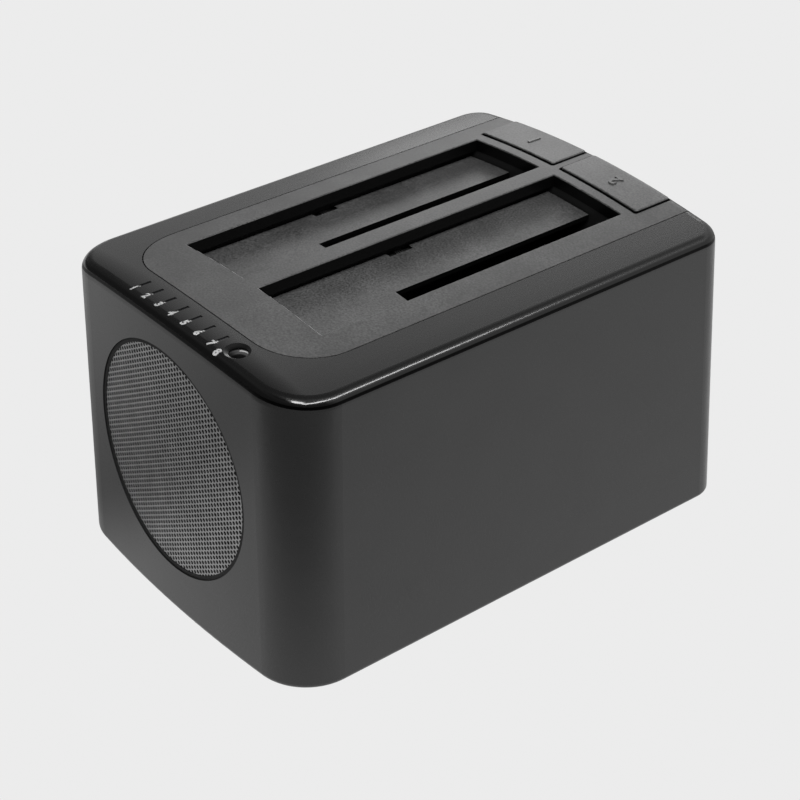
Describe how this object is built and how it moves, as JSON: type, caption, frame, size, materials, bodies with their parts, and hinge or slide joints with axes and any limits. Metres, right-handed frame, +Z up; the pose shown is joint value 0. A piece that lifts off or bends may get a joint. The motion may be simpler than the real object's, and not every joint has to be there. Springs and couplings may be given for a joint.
{
  "type": "hard drive docking station",
  "caption": "Desktop dock that takes two bare drives upright in flapped bays, with eject keys, status lights, a clone button and a fan behind a round grille.",
  "frame": {"origin": "centre of the bounding box in plan, on the plane that the rubber feet rest on", "axes": "+X to the right seen from the grille side, -Y out of the grille, +Z up"},
  "size_m": [0.11, 0.1596, 0.0942],
  "materials": {
    "shell_black": "satin moulded",
    "cover_black": "satin with a glossy rim",
    "insert_black": "fine texture",
    "key_black": "fine texture",
    "flap_black": "fine texture",
    "well_black": "matte",
    "mesh_black": "powder coated",
    "button_black": "polished",
    "light_clear": "frosted clear",
    "led_white": "clear resin",
    "rubber_black": "matte",
    "screw_steel": "zinc plated",
    "spring_steel": "drawn wire",
    "board_green": "solder mask",
    "chip_black": "moulded",
    "can_metal": "can",
    "core_grey": "ferrite",
    "socket_black": "moulded",
    "port_steel": "plated sheet",
    "fan_black": "moulded",
    "bearing_brass": "sintered",
    "switch_black": "moulded"
  },
  "bodies": {
    "root": {"main_shell": "shell_black", "front_grille": "mesh_black", "top_cover": "cover_black", "bay_insert": "insert_black", "base_plate": "shell_black", "rubber_feet": "rubber_black", "base_screws": "screw_steel", "main_board": "board_green", "board_screws": "screw_steel", "control_chips": "chip_black", "capacitors": "can_metal", "inductors": "core_grey", "data_port": "port_steel", "power_jack": "socket_black", "switch_body": "switch_black", "switch_pin": "screw_steel", "fan_bracket": "well_black", "bracket_screws": "screw_steel", "fan_frame": "fan_black", "fan_bearing": "bearing_brass", "fan_screws": "screw_steel", "front_board": "board_green", "front_board_screws": "screw_steel", "status_leds": "led_white", "light_pipes": "light_clear", "clone_switch": "chip_black", "well_screws": "screw_steel", "left_bay_well": "well_black", "left_flap_pin": "screw_steel", "left_flap_spring": "spring_steel", "left_key_spring": "spring_steel", "left_lever_pin": "screw_steel", "left_drive_socket": "socket_black", "right_bay_well": "well_black", "right_flap_pin": "screw_steel", "right_flap_spring": "spring_steel", "right_key_spring": "spring_steel", "right_lever_pin": "screw_steel", "right_drive_socket": "socket_black"},
    "clone_button": {"clone_button": "button_black", "clone_plunger": "chip_black"},
    "power_rocker": {"power_rocker": "switch_black"},
    "fan_impeller": {"fan_impeller": "fan_black"},
    "left_flap": {"left_flap": "flap_black"},
    "left_eject_key": {"left_eject_key": "key_black"},
    "left_eject_lever": {"left_eject_lever": "socket_black"},
    "right_flap": {"right_flap": "flap_black"},
    "right_eject_key": {"right_eject_key": "key_black"},
    "right_eject_lever": {"right_eject_lever": "socket_black"}
  },
  "joints": [
    {"name": "left_flap_hinge", "type": "hinge", "parent": "root", "child": "left_flap", "pos_m": [-0.0328, 0.00405, 0.08438], "axis": [0, 1, 0], "range_deg": [0, 93], "stiffness_Nm_per_rad": 0.002, "springref_deg": -34.38},
    {"name": "left_key_press", "type": "slide", "parent": "root", "child": "left_eject_key", "axis": [0, 0, -1], "range_m": [0, 0.005], "stiffness_N_per_m": 150, "springref_m": -0.004, "deforming": ["left_key_spring"]},
    {"name": "left_lever_pivot", "type": "hinge", "parent": "root", "child": "left_eject_lever", "pos_m": [-0.0212, 0.0592, 0.0235], "axis": [-1, 0, 0], "range_deg": [0, 28.7]},
    {"name": "right_flap_hinge", "type": "hinge", "parent": "root", "child": "right_flap", "pos_m": [0.0016, 0.00405, 0.0861], "axis": [0, 1, 0], "range_deg": [0, 87], "stiffness_Nm_per_rad": 0.002, "springref_deg": -34.38},
    {"name": "right_key_press", "type": "slide", "parent": "root", "child": "right_eject_key", "axis": [0, 0, -1], "range_m": [0, 0.005], "stiffness_N_per_m": 150, "springref_m": -0.004, "deforming": ["right_key_spring"]},
    {"name": "right_lever_pivot", "type": "hinge", "parent": "root", "child": "right_eject_lever", "pos_m": [0.0132, 0.0592, 0.0235], "axis": [-1, 0, 0], "range_deg": [0, 28.7]},
    {"name": "clone_press", "type": "slide", "parent": "root", "child": "clone_button", "axis": [0, 0, -1], "range_m": [0, 0.0007], "stiffness_N_per_m": 300, "springref_m": -0.0008},
    {"name": "rocker_tip", "type": "hinge", "parent": "root", "child": "power_rocker", "pos_m": [-0.038, 0.07554, 0.02889], "axis": [1, 0, 0], "range_deg": [0, 16]},
    {"name": "fan_spin", "type": "hinge", "parent": "root", "child": "fan_impeller", "pos_m": [0, -0.0656, 0.0501], "axis": [0, 1, 0], "continuous": true}
  ],
  "couplings": [
    {"joint": "left_lever_pivot", "follows": "left_key_press", "rad_per_m": 100},
    {"joint": "right_lever_pivot", "follows": "right_key_press", "rad_per_m": 100}
  ]
}
